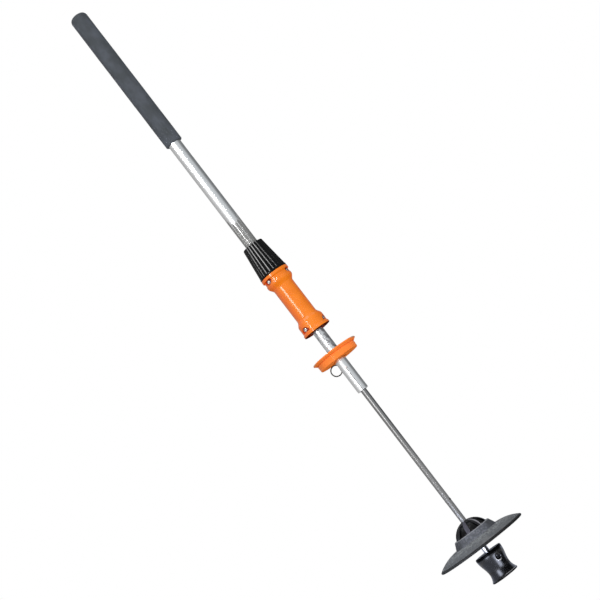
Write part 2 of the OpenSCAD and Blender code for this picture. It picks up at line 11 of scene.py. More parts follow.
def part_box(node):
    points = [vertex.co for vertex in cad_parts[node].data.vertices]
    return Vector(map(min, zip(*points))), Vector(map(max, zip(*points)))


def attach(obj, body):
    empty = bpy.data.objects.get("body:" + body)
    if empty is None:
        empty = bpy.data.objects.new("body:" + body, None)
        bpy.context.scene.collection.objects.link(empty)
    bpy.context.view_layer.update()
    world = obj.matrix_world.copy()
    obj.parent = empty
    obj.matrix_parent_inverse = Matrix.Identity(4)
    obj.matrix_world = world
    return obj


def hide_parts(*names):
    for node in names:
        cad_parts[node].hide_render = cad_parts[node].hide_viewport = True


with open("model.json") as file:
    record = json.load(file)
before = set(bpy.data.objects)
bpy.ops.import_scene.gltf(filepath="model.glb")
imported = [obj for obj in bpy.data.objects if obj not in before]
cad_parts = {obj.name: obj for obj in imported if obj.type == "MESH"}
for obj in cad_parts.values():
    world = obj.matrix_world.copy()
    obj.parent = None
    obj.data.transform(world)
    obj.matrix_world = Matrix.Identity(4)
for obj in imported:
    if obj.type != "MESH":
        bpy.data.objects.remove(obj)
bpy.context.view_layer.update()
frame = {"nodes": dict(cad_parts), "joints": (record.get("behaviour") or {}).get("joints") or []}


# The tool rod is a drawn steel bar that slides into the lower tube and hangs there on the release pin.
# Drawing leaves fine lines along it. Its lower half has dulled. The shield has worn its foot bright,
# and that foot is painted lighter still, a painted highlight in the shade under the shield.
# A spring pin through the bar stops the shield from riding further up.
class Finish:
    """A material on the staff's own coordinates, with short calls for the textures that it is made of."""

    def __init__(self, name, colour, roughness, metallic=0.0, specular=0.5):
        self.material = bpy.data.materials.new(name)
        self.material.use_nodes = True
        self.nodes = self.material.node_tree.nodes
        self.shader = self.nodes["Principled BSDF"]
        self.shader.inputs["Base Color"].default_value = (*colour, 1.0)
        self.shader.inputs["Roughness"].default_value = roughness
        self.shader.inputs["Metallic"].default_value = metallic
        self.shader.inputs["Specular IOR Level"].default_value = specular
        self.place = self.add("TexCoord").outputs["Object"]
        self.height = self.add("SeparateXYZ", {"Vector": self.place}).outputs["Z"]

    def add(self, kind, inputs=None, **settings):
        """A new node with its settings, whose inputs are linked to sockets or set to plain values."""
        node = self.nodes.new("ShaderNode" + kind)
        for key, value in settings.items():
            setattr(node, key, value)
        for key, value in (inputs or {}).items():
            if isinstance(value, bpy.types.NodeSocket):
                self.material.node_tree.links.new(value, node.inputs[key])
            else:
                node.inputs[key].default_value = value
        return node

    def noise(self, grain, detail=3.0, along=1.0):
        """Soft noise with blotches grain metres across, and along times as long on the staff's axis."""
        squeeze = (1.0, 1.0, 1.0 / along)
        drawn = self.add("Mapping", {"Vector": self.place, "Scale": squeeze}).outputs["Vector"]
        inputs = {"Vector": drawn, "Scale": 1.0 / grain, "Detail": detail}
        return self.add("TexNoise", inputs).outputs["Fac"]

    def cells(self, grain):
        """Distance to the nearest of scattered points that lie about grain metres apart."""
        return self.add("TexVoronoi", {"Vector": self.place, "Scale": 1.0 / grain}).outputs["Distance"]

    def radius(self):
        """Distance from the staff's axis."""
        level = {0: self.place, 1: (1.0, 1.0, 0.0)}
        flat = self.add("VectorMath", level, operation="MULTIPLY").outputs["Vector"]
        return self.measure("LENGTH", flat)

    def turn(self):
        """Angle round the staff's axis, counted from its front."""
        axes = self.add("SeparateXYZ", {"Vector": self.place}).outputs
        return self.calculate("ARCTAN2", axes["X"], self.product(axes["Y"], -1.0))

    def facing_up(self):
        """Height part of the surface's direction: 1 on a face that looks up, -1 on one that looks down."""
        normal = self.nodes["Texture Coordinate"].outputs["Normal"]
        return self.add("SeparateXYZ", {"Vector": normal}).outputs["Z"]

    def calculate(self, operation, *values):
        """The result of one operation on plain values or sockets."""
        return self.add("Math", dict(enumerate(values)), operation=operation).outputs["Value"]

    def measure(self, operation, *vectors):
        """The number that an operation on vectors gives, such as a length or a distance."""
        return self.add("VectorMath", dict(enumerate(vectors)), operation=operation).outputs["Value"]

    def sum(self, first, second):
        """Two values added, either of them a socket."""
        return self.calculate("ADD", first, second)

    def product(self, first, second):
        """Two values multiplied, either of them a socket."""
        return self.calculate("MULTIPLY", first, second)

    def window(self, value, low, high, start=0.0, end=1.0):
        """A smooth step from start, where the value is low, to end, where it is high."""
        inputs = {"Value": value, "From Min": low, "From Max": high, "To Min": start, "To Max": end}
        return self.add("MapRange", inputs, interpolation_type="SMOOTHSTEP").outputs["Result"]

    def band(self, value, start, full, fade, end):
        """A smooth band: 0 up to start, 1 from full to fade, and 0 again from end onwards."""
        return self.product(self.window(value, start, full), self.window(value, end, fade))

    def paint(self, mask, under, over):
        """The colour over laid on the colour under where the mask is 1."""
        mix = self.add("Mix", data_type="RGBA")
        for socket, value in (("Factor_Float", mask), ("A_Color", under), ("B_Color", over)):
            target = next(s for s in mix.inputs if s.identifier == socket)
            if isinstance(value, bpy.types.NodeSocket):
                self.material.node_tree.links.new(value, target)
            else:
                target.default_value = (*value, 1.0)
        return next(s for s in mix.outputs if s.identifier == "Result_Color")

    def dress(self, colour, roughness, relief, depth):
        """Sends colour, roughness and a relief of that depth in metres to the shader."""
        bump = self.add("Bump", {"Height": relief, "Distance": depth}).outputs["Normal"]
        links = self.material.node_tree.links
        links.new(colour, self.shader.inputs["Base Color"])
        links.new(roughness, self.shader.inputs["Roughness"])
        links.new(bump, self.shader.inputs["Normal"])
        return self

    def steer(self, socket, value):
        """Lets a value set one more of the shader's inputs."""
        self.material.node_tree.links.new(value, self.shader.inputs[socket])

    def coat(self, *names):
        """Puts the finish on these pieces."""
        for name in names:
            frame["nodes"][name].material_slots[0].material = self.material


shield_low, shield_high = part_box("shield_skirt")
rubbed_lit_length = 0.012
dull_top = 0.3
dull_foot = 0.16
drawn_steel = Finish("drawn_steel", (0.3, 0.3, 0.305), 0.3, metallic=1.0)
draw_lines = drawn_steel.noise(grain=0.0012, along=150.0)
oxide = drawn_steel.noise(grain=0.009, detail=6.0, along=6.0)
# The rod's foot under the shield is worn bright and painted lighter still, a painted highlight in the
# shield's shade.
rubbed_and_lit = drawn_steel.window(drawn_steel.height, shield_low.z + rubbed_lit_length, shield_low.z)
dulled = drawn_steel.window(drawn_steel.height, dull_top, dull_foot)
light_lines = drawn_steel.window(draw_lines, 0.3, 0.7)
oxide_spots = drawn_steel.window(oxide, 0.5, 0.8, 0.0, 0.7)
steel_colour = drawn_steel.paint(light_lines, (0.265, 0.265, 0.266), (0.31, 0.31, 0.311))
steel_colour = drawn_steel.paint(oxide_spots, steel_colour, (0.21, 0.208, 0.205))
steel_colour = drawn_steel.paint(drawn_steel.product(dulled, 0.6), steel_colour, (0.135, 0.136, 0.138))
steel_colour = drawn_steel.paint(rubbed_and_lit, steel_colour, (0.66, 0.66, 0.66))
steel_rough = drawn_steel.sum(
    drawn_steel.window(draw_lines, 0.2, 0.8, 0.13, 0.17),
    drawn_steel.product(dulled, 0.2),
)
bare_metal = drawn_steel.sum(drawn_steel.product(dulled, -0.72), 1.0)
drawn_steel.steer("Metallic", drawn_steel.calculate("MAXIMUM", bare_metal, rubbed_and_lit))
drawn_steel.dress(steel_colour, steel_rough, draw_lines, depth=0.000004)
drawn_steel.coat("tool_rod")


def spring_steel(name, dark, light):
    """Oiled spring steel: dark, with lighter patches where the oil has been rubbed off."""
    finish = Finish(name, dark, 0.36, metallic=1.0)
    patches = finish.noise(grain=0.003, detail=5.0)
    grain = finish.noise(grain=0.0003)
    colour = finish.paint(finish.window(patches, 0.4, 0.7), dark, light)
    finish.dress(colour, finish.window(grain, 0.3, 0.7, 0.3, 0.48), grain, depth=0.00001)
    return finish


spring_steel("pin_steel", (0.03, 0.03, 0.03), (0.12, 0.12, 0.115)).coat("rod_stop_pin", "stop_bush_pin")


# The tip is a waisted knob of black plastic, turned to a fine gloss and bored for the rod.
# A grub screw in its side bears on the rod. Soil has scuffed the rim of its end face. Just above that rim,
# a pale line round its front is a painted highlight, as is one side of the edge of the screw's hole.
def black_plastic(name, gloss, specular=0.3, dust=(0.02, 0.0205, 0.022)):
    """Glossy moulded black plastic: faint flow marks, fine scuffs and a thin haze of dust."""
    finish = Finish(name, (0.003, 0.0031, 0.0035), gloss, specular=specular)
    flow = finish.noise(grain=0.009, detail=2.0)
    scuffs = finish.noise(grain=0.0009, detail=5.0, along=7.0)
    haze = finish.noise(grain=0.006, detail=6.0)
    colour = finish.paint(finish.window(haze, 0.52, 0.85), (0.0025, 0.0026, 0.003), dust)
    roughness = finish.sum(
        finish.window(scuffs, 0.45, 0.8, gloss, gloss + 0.05),
        finish.window(haze, 0.5, 0.85, 0.0, 0.06),
    )
    return finish, flow, colour, roughness


tip_low, tip_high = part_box("tip_knob")
tip_shine = 0.5
tip_black, tip_flow, tip_colour, tip_rough = black_plastic(
    "tip_black", 0.22, specular=tip_shine, dust=(0.006, 0.0065, 0.0075)
)
scuff_height = 0.0035
rim_scuff = tip_black.product(
    tip_black.window(tip_black.height, tip_low.z + scuff_height, tip_low.z),
    tip_black.window(tip_black.noise(grain=0.002, detail=6.0), 0.42, 0.6),
)
tip_colour = tip_black.paint(rim_scuff, tip_colour, (0.02, 0.02, 0.02))
tip_rough = tip_black.sum(tip_rough, tip_black.product(rim_scuff, 0.25))
# A painted highlight: a pale line round the front of the knob, just above the rim of its end face.
edge_low = tip_low.z + 0.0022
edge_high = tip_low.z + 0.0037
edge_soft = 0.0005
painted_rim_highlight = tip_black.band(
    tip_black.height, edge_low, edge_low + edge_soft, edge_high - edge_soft, edge_high
)
painted_rim_highlight = tip_black.product(painted_rim_highlight, tip_black.window(tip_black.turn(), -0.2, 0.3))
tip_colour = tip_black.paint(painted_rim_highlight, tip_colour, (0.2, 0.2, 0.21))
hole_turn = math.radians(295.0)
hole_z = tip_low.z + 0.0305
hole_r = 0.00425
beside = (-math.sin(hole_turn), math.cos(hole_turn), 0.0)
from_hole = tip_black.measure("DOT_PRODUCT", tip_black.place, beside)
over_hole = tip_black.sum(tip_black.height, -hole_z)
hole_place = tip_black.add("CombineXYZ", {"X": from_hole, "Y": over_hole}).outputs["Vector"]
hole_reach = tip_black.measure("LENGTH", hole_place)
hole_edge = (hole_r - 0.0003, hole_r + 0.0001, hole_r + 0.0009, hole_r + 0.0018)
side_start = 0.0005
side_full = -0.0035
# A painted highlight: a pale crescent on one side of the edge of the screw's hole.
painted_hole_highlight = tip_black.band(hole_reach, *hole_edge)
highlight_side = tip_black.window(tip_black.sum(from_hole, over_hole), side_start, side_full)
tip_colour = tip_black.paint(tip_black.product(painted_hole_highlight, highlight_side), tip_colour, (0.5, 0.5, 0.52))
tip_end_shine = 0.02
foot_lip = tip_low.z + 0.0026
foot_soft = 0.001
top_lip = tip_high.z - 0.0058
top_soft = 0.0018
tip_ends = tip_black.sum(
    tip_black.window(tip_black.height, foot_lip, foot_lip - foot_soft),
    tip_black.window(tip_black.height, top_lip, top_lip + top_soft),
)
tip_black.steer("Specular IOR Level", tip_black.window(tip_ends, 0.0, 1.0, tip_shine, tip_end_shine))
tip_black.dress(tip_colour, tip_rough, tip_flow, depth=0.00005)
tip_black.coat("tip_knob")
spring_steel("grub_steel", (0.035, 0.035, 0.037), (0.11, 0.11, 0.112)).coat("tip_set_screw")


# The shield's skirt is one moulding of grey rubber, bowed like a shallow dish, with a thick collar on top.
# Its face has a fine moulded grain with specks of pale dust. The collar's front has a painted bluish sheen,
# its sides a painted shade and its top edge a painted highlight. Painted shade blackens its underside and
# lower rim.
rubber = Finish("grey_rubber", (0.14, 0.145, 0.15), 0.8, specular=0.25)
rubber_grain = rubber.noise(grain=0.0011, detail=6.0)
rubber_cloud = rubber.noise(grain=0.022, detail=4.0)
collar_foot = shield_low.z + 0.0149
collar_soft = 0.001
collar_rim = shield_high.z - 0.0012
collar_rim_soft = 0.0006
collar_r = 0.0378
dust_start = collar_r + 0.036
dust_full = collar_r + 0.012
rim_top = shield_low.z + 0.0044
rim_soft = 0.0003
pale_grain = rubber.window(rubber_grain, 0.34, 0.68)
pale_cloud = rubber.window(rubber_cloud, 0.5, 0.78)
rubber_colour = rubber.paint(pale_grain, (0.062, 0.067, 0.073), (0.118, 0.126, 0.136))
rubber_colour = rubber.paint(pale_cloud, rubber_colour, (0.145, 0.149, 0.153))
dusty = rubber.window(rubber.radius(), dust_start, dust_full, 0.0, 0.95)
specks = rubber.window(rubber.noise(grain=0.0034, detail=2.0), 0.4, 0.6)
rubber_colour = rubber.paint(rubber.product(dusty, specks), rubber_colour, (0.235, 0.25, 0.257))
on_collar = rubber.window(rubber.height, collar_foot - collar_soft, collar_foot + collar_soft)
# Painted sheen: the collar's front is painted paler and bluish, and its sides and back darker as painted
# shade.
painted_front_sheen = rubber.window(rubber.calculate("COSINE", rubber.turn()), 0.55, 0.95)
collar_colour = rubber.paint(painted_front_sheen, (0.045, 0.048, 0.055), (0.13, 0.139, 0.166))
collar_mottle = rubber.window(rubber.noise(grain=0.0036, detail=2.0), 0.42, 0.6, 0.0, 0.75)
collar_colour = rubber.paint(collar_mottle, collar_colour, (0.058, 0.062, 0.07))
rubber_colour = rubber.paint(on_collar, rubber_colour, collar_colour)
# Painted highlight: a pale line along the collar's top edge.
painted_collar_highlight = rubber.window(rubber.height, collar_rim, collar_rim + collar_rim_soft, 0.0, 0.7)
rubber_colour = rubber.paint(painted_collar_highlight, rubber_colour, (0.29, 0.3, 0.32))
# Painted shade: faces that look down are painted near black.
painted_underside_shade = rubber.window(rubber.facing_up(), -0.15, -0.55)
rubber_colour = rubber.paint(painted_underside_shade, rubber_colour, (0.012, 0.012, 0.012))
# Painted shade: the lower half of the rim is painted black.
painted_rim_shade = rubber.window(rubber.height, rim_top + rim_soft, rim_top - rim_soft)
rubber_colour = rubber.paint(painted_rim_shade, rubber_colour, (0.008, 0.008, 0.008))
rubber_rough = rubber.window(rubber_grain, 0.3, 0.7, 0.7, 0.9)
rubber.dress(rubber_colour, rubber_rough, rubber_grain, depth=0.00022)
rubber.coat("shield_skirt")


# The cage is a black moulded dome with sunk panels between its ribs, and it snaps into the skirt's collar.
# A painted sheen lies on two of its ribs, bluish at the front and paler grey to the right,
# and a rubber grommet in its sleeve keeps the shield where it is pushed.
_, cage_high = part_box("shield_cage")
cage_black, cage_flow, cage_colour, cage_rough = black_plastic("cage_black", 0.2, specular=0.12)
dome_h = cage_high.z - shield_high.z
dome_foot_r = 0.0282
ball_r = (dome_h ** 2 + dome_foot_r ** 2) / (2.0 * dome_h)
ball_centre = (0.0, 0.0, cage_high.z - ball_r)
rib_start = ball_r - 0.0007
rib_full = ball_r - 0.0003
dome_soft = 0.0005
haze_start = cage_high.z - 0.011
haze_full = cage_high.z - 0.004
from_ball = cage_black.measure("DISTANCE", cage_black.place, ball_centre)
on_rib = cage_black.window(from_ball, rib_start, rib_full)
on_dome = cage_black.window(cage_black.height, shield_high.z - dome_soft, shield_high.z + dome_soft)
on_rib = cage_black.product(on_rib, on_dome)
haze_top = cage_black.window(cage_black.height, haze_start, haze_full)
cage_colour = cage_black.paint(haze_top, cage_colour, (0.028, 0.03, 0.034))
cage_colour = cage_black.paint(on_rib, cage_colour, (0.012, 0.012, 0.014))
rib_turn = cage_black.turn()
# Painted sheen on two ribs, one at the front and one to the right.
painted_front_rib_sheen = cage_black.band(rib_turn, *np.radians((-24.0, -19.0, -3.0, 2.0)))
painted_right_rib_sheen = cage_black.band(rib_turn, *np.radians((36.0, 39.0, 45.0, 48.0)))
cage_colour = cage_black.paint(cage_black.product(on_rib, painted_front_rib_sheen), cage_colour, (0.06, 0.06, 0.08))
cage_colour = cage_black.paint(cage_black.product(on_rib, painted_right_rib_sheen), cage_colour, (0.2, 0.2, 0.22))
cage_rough = cage_black.sum(cage_rough, cage_black.product(on_rib, 0.22))
cage_black.dress(cage_colour, cage_rough, cage_flow, depth=0.00006)
cage_black.coat("shield_cage")
grommet_rubber = Finish("grommet_rubber", (0.02, 0.02, 0.02), 0.75, specular=0.3)
grommet_grain = grommet_rubber.noise(grain=0.0006, detail=4.0)
grommet_colour = grommet_rubber.paint(grommet_grain, (0.012, 0.012, 0.012), (0.035, 0.035, 0.034))
grommet_rough = grommet_rubber.window(grommet_grain, 0.3, 0.7, 0.65, 0.85)
grommet_rubber.dress(grommet_colour, grommet_rough, grommet_grain, depth=0.00008)
grommet_rubber.coat("shield_grommet")


# The lower tube is drawn aluminium, polished, with a slit from its end up to the release pin.
# The flange has scuffed it between its rest and the hub, and two plastic bushes inside centre the rod.
def drawn_aluminium(name):
    """Polished drawn aluminium: fine lines along the tube and faint cloudy fingermarks."""
    finish = Finish(name, (0.84, 0.845, 0.85), 0.2, metallic=1.0)
    lines = finish.noise(grain=0.00035, along=120.0)
    marks = finish.noise(grain=0.014, detail=1.0, along=3.0)
    colour = finish.paint(finish.window(lines, 0.3, 0.7), (0.78, 0.785, 0.79), (0.88, 0.885, 0.89))
    roughness = finish.sum(
        finish.window(lines, 0.25, 0.75, 0.16, 0.2),
        finish.window(marks, 0.5, 0.75, 0.0, 0.1),
    )
    return finish, lines, colour, roughness


_, flange_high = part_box("stop_flange")
hub_low, hub_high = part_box("hub_body")
lower_alu, lower_lines, lower_colour, lower_rough = drawn_aluminium("lower_aluminium")
scuff_soft = 0.004
scuffed = lower_alu.product(
    lower_alu.window(lower_alu.height, flange_high.z - scuff_soft, flange_high.z + scuff_soft),
    lower_alu.window(lower_alu.noise(grain=0.0042, detail=7.0, along=1.5), 0.42, 0.6),
)
lower_colour = lower_alu.paint(scuffed, lower_colour, (0.38, 0.387, 0.4))
lower_rough = lower_alu.sum(lower_rough, lower_alu.product(scuffed, 0.22))
lower_alu.dress(lower_colour, lower_rough, lower_lines, depth=0.000006)
lower_alu.coat("lower_tube")


def inner_plastic(name, dark, light, roughness):
    """Plain machined or moulded plastic: a little uneven in colour, with fine tool marks round it."""
    finish = Finish(name, light, roughness)
    cloud = finish.noise(grain=0.007, detail=4.0)
    rings = finish.noise(grain=0.0004, along=0.06)
    colour = finish.paint(finish.window(cloud, 0.35, 0.7), dark, light)
    uneven = finish.window(rings, 0.3, 0.7, roughness - 0.08, roughness + 0.08)
    finish.dress(colour, uneven, rings, depth=0.00003)
    return finish


dark_bush = inner_plastic("dark_bush", (0.02, 0.02, 0.022), (0.045, 0.045, 0.048), roughness=0.5)
dark_bush.coat("rod_bush_lower", "rod_bush_upper")


# The release pin is turned from bright steel: a round nose, a collar against the tube and a flat eye.
# A ring of dark spring wire through the eye lets a finger pull the pin and free the rod.
def plated_steel(name):
    """Bright zinc plate: slightly cloudy, with a fine brushed grain."""
    finish = Finish(name, (0.66, 0.65, 0.64), 0.28, metallic=1.0)
    cloud = finish.noise(grain=0.002, detail=4.0)
    grain = finish.noise(grain=0.0002)
    colour = finish.paint(finish.window(cloud, 0.4, 0.7), (0.56, 0.55, 0.54), (0.72, 0.71, 0.7))
    finish.dress(colour, finish.window(grain, 0.3, 0.7, 0.2, 0.36), grain, depth=0.000008)
    return finish


plated_steel("pin_plate").coat("release_pin")
spring_steel("wire_steel", (0.04, 0.043, 0.041), (0.12, 0.123, 0.118)).coat("pull_ring")


# The stop flange is an orange moulded cup that slides on the lower tube and rests on a hidden snap ring.
# Its lip is painted greyer at its left and right ends, and eight ribs stiffen it inside.
def orange_plastic(name, dark, light, specular):
    """Glossy orange moulding: a little uneven in colour, with a faint peel and fine scratches."""
    finish = Finish(name, light, 0.1, specular=specular)
    peel = finish.noise(grain=0.012, detail=1.0)
    cloud = finish.noise(grain=0.018, detail=3.0)
    scratches = finish.noise(grain=0.0006, detail=5.0, along=14.0)
    colour = finish.paint(finish.window(cloud, 0.3, 0.7), dark, light)
    colour = finish.paint(finish.window(scratches, 0.68, 0.8, 0.0, 0.35), colour, (0.9, 0.33, 0.08))
    roughness = finish.window(scratches, 0.5, 0.8, 0.09, 0.12)
    finish.steer("Specular IOR Level", finish.window(finish.facing_up(), -0.2, -0.6, specular, 0.0))
    return finish, peel, colour, roughness


flange_orange, flange_peel, flange_colour, flange_rough = orange_plastic(
    "flange_orange", (0.92, 0.222, 0.036), (1.0, 0.25, 0.047), specular=0.1
)
lip_r = flange_high.x
lip_start = lip_r - 0.0012
lip_full = lip_r - 0.0002
grey_start = 0.031
grey_full = 0.037
# The lip is painted greyer at its left and right ends.
lip_end_grey = flange_orange.product(
    flange_orange.window(flange_orange.radius(), lip_start, lip_full),
    flange_orange.window(flange_orange.noise(grain=0.008, detail=5.0), 0.36, 0.6),
)
flange_axes = flange_orange.add("SeparateXYZ", {"Vector": flange_orange.place}).outputs
aside = flange_orange.calculate("ABSOLUTE", flange_axes["X"])
lip_end_grey = flange_orange.product(lip_end_grey, flange_orange.window(aside, grey_start, grey_full))
flange_colour = flange_orange.paint(lip_end_grey, flange_colour, (0.48, 0.3, 0.2))
flange_rough = flange_orange.sum(flange_rough, flange_orange.product(lip_end_grey, 0.25))
flange_orange.dress(flange_colour, flange_rough, flange_peel, depth=0.00001)
flange_orange.coat("stop_flange")
spring_steel("clip_steel", (0.06, 0.06, 0.06), (0.16, 0.16, 0.155)).coat("flange_snap_ring")


# The hub is the orange moulded middle grip that joins the two tubes, waisted between two shoulders.
# Three sunk screws at each end hold the tube socket and the threaded spigot, with a painted shade of darker
# red in their pockets. Painted shade makes its sides a darker, redder orange and its downward end face dark
# red.
hub_orange, hub_peel, hub_colour, hub_rough = orange_plastic(
    "hub_orange", (0.79, 0.188, 0.01), (0.85, 0.218, 0.015), specular=0.32
)
pocket_floor = 0.0192
pocket_shade_start = pocket_floor + 0.0022
pocket_shade_full = pocket_floor + 0.0004
hub_shoulder_r = 0.0225
sunk_start = hub_shoulder_r - 0.0003
sunk_full = hub_shoulder_r - 0.0007
end_top = hub_low.z + 0.002
end_soft = 0.001
foot_reach = hub_low.z + 0.017
head_reach = hub_high.z - 0.0155
reach_soft = 0.0004
# Painted shade in the screw pockets: darker red on their walls, darkest deep inside.
in_pocket = hub_orange.window(hub_orange.radius(), pocket_shade_start, pocket_shade_full)
foot_pocket = hub_orange.window(hub_orange.height, foot_reach, foot_reach - reach_soft)
head_pocket = hub_orange.window(hub_orange.height, head_reach, head_reach + reach_soft)
# Painted shade: the downward end face at the hub's foot is painted dark red.
painted_end_shade = hub_orange.product(
    hub_orange.window(hub_orange.facing_up(), -0.4, -0.8),
    hub_orange.window(hub_orange.height, end_top, end_top - end_soft),
)
pocket_reach = hub_orange.sum(foot_pocket, head_pocket)
painted_pocket_shade = hub_orange.product(in_pocket, pocket_reach)
painted_pocket_wall_shade = hub_orange.window(hub_orange.radius(), sunk_start, sunk_full)
painted_pocket_wall_shade = hub_orange.product(painted_pocket_wall_shade, pocket_reach)
hub_turn = hub_orange.turn()
# Painted shade: the hub's sides are painted a darker, redder orange than its front.
side_shade_share = 0.7
painted_side_shade = hub_orange.sum(
    hub_orange.window(hub_turn, -0.3, -0.8, 0.0, side_shade_share),
    hub_orange.window(hub_turn, 0.8, 1.3, 0.0, side_shade_share),
)
hub_colour = hub_orange.paint(painted_side_shade, hub_colour, (0.86, 0.165, 0.035))
hub_colour = hub_orange.paint(painted_pocket_wall_shade, hub_colour, (0.78, 0.105, 0.014))
hub_colour = hub_orange.paint(painted_pocket_shade, hub_colour, (0.42, 0.035, 0.01))
hub_colour = hub_orange.paint(painted_end_shade, hub_colour, (0.1, 0.016, 0.006))
hub_orange.dress(hub_colour, hub_rough, hub_peel, depth=0.00001)
hub_orange.coat("hub_body")
dark_bush.coat("tube_socket", "threaded_spigot")
plated_steel("screw_plate").coat("hub_lower_screws", "hub_upper_screws")


# The clamp is a ribbed cone nut of glossy black plastic that screws down over a split collet.
# Grime dulls the grooves between its ribs, and a thumb has polished the ribs at its front.
# The collet is pale acetal, like the bush that stops the handle tube.
nut_low, nut_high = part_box("lock_nut")
nut_black, nut_flow, nut_colour, nut_rough = black_plastic(
    "nut_black", 0.08, specular=0.15, dust=(0.005, 0.005, 0.006)
)
nut_foot_r = nut_high.x
nut_top_r = 0.018
lean = (nut_foot_r - nut_top_r) / (nut_high.z - nut_low.z)
over_cone = nut_black.sum(nut_black.radius(), nut_black.product(nut_black.height, lean))
crest = nut_foot_r + nut_low.z * lean
groove_start = crest - 0.0004
groove_full = crest - 0.0011
rib_grime = nut_black.product(
    nut_black.window(over_cone, groove_start, groove_full),
    nut_black.window(nut_black.noise(grain=0.004, detail=5.0, along=3.0), 0.4, 0.7),
)
nut_colour = nut_black.paint(rib_grime, nut_colour, (0.007, 0.007, 0.007))
nut_rough = nut_black.sum(nut_rough, nut_black.product(rib_grime, 0.08))
thumb_turn = -0.14
thumb_full = 0.08
thumb_end = 0.3
off_thumb = nut_black.calculate("ABSOLUTE", nut_black.sum(nut_black.turn(), -thumb_turn))
nut_rough = nut_black.sum(nut_rough, nut_black.window(off_thumb, thumb_full, thumb_end, 0.0, 0.06))
nut_black.dress(nut_colour, nut_rough, nut_flow, depth=0.00002)
nut_black.coat("lock_nut")
pale_acetal = inner_plastic("pale_acetal", (0.6, 0.59, 0.56), (0.72, 0.71, 0.68), roughness=0.45)
pale_acetal.coat("collet", "handle_stop_bush")


# The handle tube is the wider drawn aluminium tube, which slides in the clamp as far as its stop bush.
# The collet and its grease have left the lowest stretch matt, grey and streaked, and darkest at the nut.
handle_alu, handle_lines, handle_colour, handle_rough = drawn_aluminium("handle_aluminium")
handle_slide = next(joint for joint in frame["joints"] if joint["name"] == "handle_slide")
travel = -handle_slide["range_m"][0]
worn_top = nut_high.z + travel
worn_start = worn_top + 0.003
worn_full = worn_top - 0.005
ragged_reach = 0.01
ragged = handle_alu.noise(grain=0.008, detail=1.0, along=4.0)
ragged = handle_alu.window(ragged, 0.2, 0.8, -ragged_reach, ragged_reach)
worn = handle_alu.window(handle_alu.sum(handle_alu.height, ragged), worn_start, worn_full)
streaks = handle_alu.window(handle_alu.noise(grain=0.005, detail=1.0, along=200.0), 0.0, 1.0, 0.38, 0.62)
jaw_edges = 12.0
first_edge = 0.035
jaw_turn = handle_alu.product(handle_alu.sum(handle_alu.turn(), -first_edge), jaw_edges)
jaw_wave = handle_alu.calculate("COSINE", jaw_turn)
streaks = handle_alu.sum(streaks, handle_alu.product(jaw_wave, -0.3))
bright_streak = handle_alu.window(streaks, 0.68, 0.86)
worn_colour = handle_alu.paint(bright_streak, (0.18, 0.18, 0.178), (0.84, 0.84, 0.83))
near_nut = handle_alu.window(handle_alu.height, worn_top, nut_high.z, 0.0, 0.5)
worn_colour = handle_alu.paint(near_nut, worn_colour, (0.2, 0.2, 0.195))
handle_colour = handle_alu.paint(worn, handle_colour, worn_colour)
greased = handle_alu.product(worn, handle_alu.sum(handle_alu.product(bright_streak, -1.0), 1.0))
handle_rough = handle_alu.sum(handle_rough, handle_alu.product(greased, 0.34))
handle_alu.steer("Metallic", handle_alu.sum(handle_alu.product(greased, -0.85), 1.0))
handle_alu.dress(handle_colour, handle_rough, handle_lines, depth=0.000006)
handle_alu.coat("handle_tube")
dark_bush.coat("tube_end_plug")


